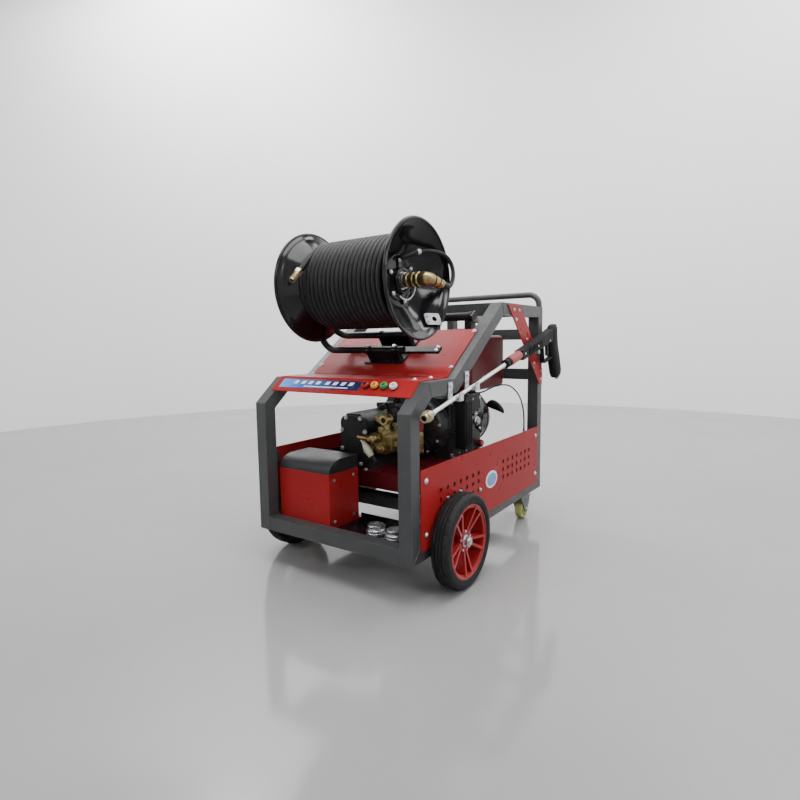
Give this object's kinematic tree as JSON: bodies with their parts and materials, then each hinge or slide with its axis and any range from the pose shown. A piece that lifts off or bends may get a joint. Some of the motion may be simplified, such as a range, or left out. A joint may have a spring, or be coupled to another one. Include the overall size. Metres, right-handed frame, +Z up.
{
  "type": "drain jetter",
  "caption": "Wheeled drain jetter: engine-driven plunger pump in an open tube frame with red panels, a sloped-top hose reel, battery box and a racked spray gun.",
  "frame": {"origin": "on the floor under the middle of the machine's bounding box", "axes": "+Z up, front of the machine towards -Y, +X to its right side as seen from behind"},
  "size_m": [0.784, 1.1618, 1.1504],
  "materials": {
    "frame_paint": "satin",
    "red_paint": "gloss",
    "black_paint": "gloss",
    "zinc": "bright zinc",
    "chrome": "polished",
    "steel": "satin",
    "engine_cast": "satin paint over cast metal",
    "brass": "turned",
    "rubber": "matte",
    "tyre": "matte",
    "black_plastic": "matte",
    "red_plastic": "matte",
    "caster_plastic": "translucent",
    "yellow_plastic": "matte",
    "green_plastic": "matte",
    "white_plastic": "matte"
  },
  "bodies": {
    "chassis": {"side_frame_left": "frame_paint", "side_frame_right": "frame_paint", "cross_rails": "frame_paint", "base_tray": "black_paint", "side_panel_left": "red_paint", "side_panel_right": "red_paint", "front_panel": "red_paint", "top_panel": "red_paint", "push_handle": "frame_paint", "panel_bolts": "zinc", "wheel_axle": "zinc", "caster_plates": "zinc", "battery_box": "red_paint", "battery": "black_plastic", "engine_bed": "red_paint", "engine_block": "engine_cast", "engine_shroud": "black_paint", "recoil_starter": "black_plastic", "muffler": "engine_cast", "intake": "black_plastic", "fuel_tank": "red_paint", "gear_case": "engine_cast", "pump_crankcase": "engine_cast", "pump_head": "brass", "unloader": "brass", "water_fittings": "zinc", "throttle_cable": "rubber", "reel_stand": "black_paint", "reel_axle": "zinc", "gun_rack": "zinc"},
    "wheel_left": {"tyre_left": "tyre", "rim_left": "red_plastic"},
    "wheel_right": {"tyre_right": "tyre", "rim_right": "red_plastic"},
    "caster_left": {"caster_fork_left": "zinc"},
    "caster_right": {"caster_fork_right": "zinc"},
    "caster_roll_left": {"caster_wheel_left": "caster_plastic"},
    "caster_roll_right": {"caster_wheel_right": "caster_plastic"},
    "brake_left": {"caster_brake_left": "zinc"},
    "brake_right": {"caster_brake_right": "zinc"},
    "lid": {"battery_lid": "frame_paint"},
    "engine_shaft": {"engine_crank": "steel"},
    "pump_shaft": {"pump_crank": "steel"},
    "starter_grip": {"recoil_handle": "black_plastic"},
    "tank_cap": {"fuel_cap": "black_plastic"},
    "pressure_knob": {"unloader_knob": "red_plastic"},
    "reel": {"reel_drum": "black_paint", "hose_core": "rubber", "hose_winding": "rubber", "hose_fitting": "brass", "swivel_joint": "brass", "jumper_hose": "rubber"},
    "roller": {"guide_roller": "black_plastic"},
    "gun": {"spray_gun": "black_plastic", "lance": "chrome"},
    "trigger": {"gun_trigger": "red_plastic"},
    "nozzle_red": {"tip_red": "red_plastic"},
    "nozzle_yellow": {"tip_yellow": "yellow_plastic"},
    "nozzle_green": {"tip_green": "green_plastic"},
    "nozzle_white": {"tip_white": "white_plastic"}
  },
  "joints": [
    {"name": "left_wheel_spin", "type": "hinge", "parent": "chassis", "child": "wheel_left", "pos_m": [-0.35, -0.36189, 0.15], "axis": [1, 0, 0], "continuous": true},
    {"name": "left_caster_swivel", "type": "hinge", "parent": "chassis", "child": "caster_left", "pos_m": [-0.262, 0.34011, 0.118], "axis": [0, 0, 1], "continuous": true},
    {"name": "left_caster_spin", "type": "hinge", "parent": "caster_left", "child": "caster_roll_left", "pos_m": [-0.262, 0.37211, 0.04], "axis": [1, 0, 0], "continuous": true},
    {"name": "left_brake_pedal", "type": "hinge", "parent": "caster_left", "child": "brake_left", "pos_m": [-0.262, 0.40011, 0.082], "axis": [-1, 0, 0], "range_deg": [0, 25], "stiffness_Nm_per_rad": 0.5},
    {"name": "right_wheel_spin", "type": "hinge", "parent": "chassis", "child": "wheel_right", "pos_m": [0.35, -0.36189, 0.15], "axis": [1, 0, 0], "continuous": true},
    {"name": "right_caster_swivel", "type": "hinge", "parent": "chassis", "child": "caster_right", "pos_m": [0.262, 0.34011, 0.118], "axis": [0, 0, 1], "continuous": true},
    {"name": "right_caster_spin", "type": "hinge", "parent": "caster_right", "child": "caster_roll_right", "pos_m": [0.262, 0.37211, 0.04], "axis": [1, 0, 0], "continuous": true},
    {"name": "right_brake_pedal", "type": "hinge", "parent": "caster_right", "child": "brake_right", "pos_m": [0.262, 0.40011, 0.082], "axis": [-1, 0, 0], "range_deg": [0, 25], "stiffness_Nm_per_rad": 0.5},
    {"name": "lid_hinge", "type": "hinge", "parent": "chassis", "child": "lid", "pos_m": [-0.15, -0.37599, 0.3409], "axis": [-1, 0, 0], "range_deg": [0, 85]},
    {"name": "engine_turn", "type": "hinge", "parent": "chassis", "child": "engine_shaft", "pos_m": [0.005, 0.13311, 0.4375], "axis": [0, 1, 0], "continuous": true},
    {"name": "pump_turn", "type": "hinge", "parent": "chassis", "child": "pump_shaft", "pos_m": [-0.11379, -0.06689, 0.4205], "axis": [0, 1, 0], "continuous": true},
    {"name": "starter_pull", "type": "slide", "parent": "chassis", "child": "starter_grip", "axis": [1, 0, 0], "range_m": [0, 0.4], "stiffness_N_per_m": 40},
    {"name": "cap_turn", "type": "hinge", "parent": "chassis", "child": "tank_cap", "pos_m": [0.07, 0.16561, 0.8075], "axis": [0, 0, 1], "range_deg": [0, 120]},
    {"name": "knob_turn", "type": "hinge", "parent": "chassis", "child": "pressure_knob", "pos_m": [0.11021, -0.21689, 0.4805], "axis": [0, 0, 1], "range_deg": [-180, 180]},
    {"name": "reel_spin", "type": "hinge", "parent": "chassis", "child": "reel", "pos_m": [0, -0.37652, 0.96144], "axis": [1, 0, 0], "continuous": true},
    {"name": "roller_spin", "type": "hinge", "parent": "chassis", "child": "roller", "pos_m": [0, -0.05139, 0.85662], "axis": [1, 0, 0], "continuous": true},
    {"name": "gun_lift", "type": "slide", "parent": "chassis", "child": "gun", "axis": [0, 0, 1], "range_m": [0, 0.25]},
    {"name": "trigger_pull", "type": "hinge", "parent": "gun", "child": "trigger", "pos_m": [0.345, 0.41815, 0.76519], "axis": [1, 0, 0], "range_deg": [0, 18], "stiffness_Nm_per_rad": 0.4},
    {"name": "red_nozzle_lift", "type": "slide", "parent": "chassis", "child": "nozzle_red", "axis": [0, -0.647, 0.7625], "range_m": [0, 0.04]},
    {"name": "yellow_nozzle_lift", "type": "slide", "parent": "chassis", "child": "nozzle_yellow", "axis": [0, -0.647, 0.7625], "range_m": [0, 0.04]},
    {"name": "green_nozzle_lift", "type": "slide", "parent": "chassis", "child": "nozzle_green", "axis": [0, -0.647, 0.7625], "range_m": [0, 0.04]},
    {"name": "white_nozzle_lift", "type": "slide", "parent": "chassis", "child": "nozzle_white", "axis": [0, -0.647, 0.7625], "range_m": [0, 0.04]}
  ],
  "couplings": [
    {"joint": "pump_turn", "follows": "engine_turn", "ratio": -0.42857}
  ]
}
